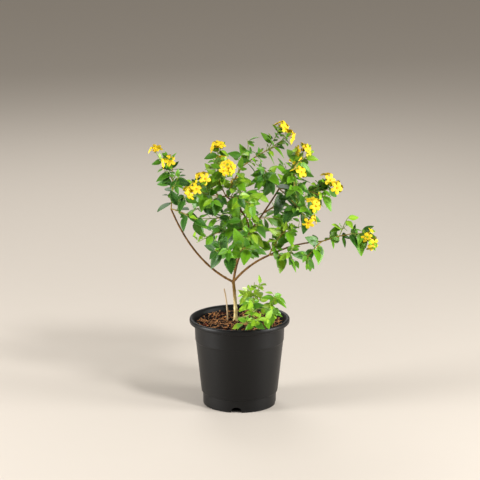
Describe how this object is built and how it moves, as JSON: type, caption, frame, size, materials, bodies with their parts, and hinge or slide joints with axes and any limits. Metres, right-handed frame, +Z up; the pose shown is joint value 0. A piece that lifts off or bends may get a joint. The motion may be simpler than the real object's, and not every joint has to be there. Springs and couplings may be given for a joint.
{
  "type": "potted lantana",
  "caption": "Small woody lantana in yellow flower, with opposite ovate leaves, grown in a black plastic nursery pot of bark mix",
  "frame": {"origin": "centre of the pot's flat underside", "axes": "+Z up; +X towards the side that the longest bough reaches to; +Y towards the back of the shrub, away from the side in the picture"},
  "size_m": [0.4661, 0.3031, 0.6003],
  "materials": {
    "pot": "satin black moulded plastic",
    "potting_mix": "coarse coir and bark chips, matt",
    "bark": "thin brown bark, matt",
    "dry_wood": "dry grey-tan stick, matt",
    "young_stem": "green young stem, matt",
    "foliage": "rough dark to mid green leaves with yellow flowers",
    "young_foliage": "light fresh green leaves"
  },
  "bodies": {
    "root": {"pot": "pot", "potting_mix": "potting_mix", "trunk": "bark", "bough_left": "bark", "bough_centre": "bark", "bough_right": "bark", "bough_right_outer": "bark", "bough_front": "bark", "bough_back": "bark", "bough_centre_right": "bark", "bough_upper_left": "bark", "bough_top": "bark", "bough_upper_right": "bark", "bough_back_left": "bark", "bough_back_right": "bark", "bough_basal": "young_stem", "dead_stub": "dry_wood", "foliage_centre_middle": "foliage", "foliage_left_inner": "foliage", "foliage_left_high": "foliage", "foliage_upper_left": "foliage", "foliage_inner_left": "foliage", "foliage_centre_upper": "foliage", "foliage_upper_inner": "foliage", "foliage_top": "foliage", "foliage_upper_right": "foliage", "foliage_right_inner": "foliage", "foliage_upper_centre": "foliage", "foliage_right_middle": "foliage", "foliage_right_low": "foliage", "foliage_far_right": "foliage", "foliage_right_lower": "foliage", "foliage_right_under": "foliage", "foliage_right_over": "foliage", "foliage_middle_left": "foliage", "foliage_centre_low": "foliage", "foliage_centre_front": "foliage", "foliage_back_middle": "foliage", "foliage_back_low_left": "foliage", "foliage_back_low_right": "foliage", "foliage_back_left_high": "foliage", "foliage_back_left_low": "foliage", "foliage_back_right_high": "foliage", "foliage_back_right_low": "foliage", "basal_shoot_upright": "young_foliage", "basal_shoot_left": "young_foliage", "basal_shoot_right": "young_foliage", "basal_shoot_front": "young_foliage"}
  },
  "joints": []
}
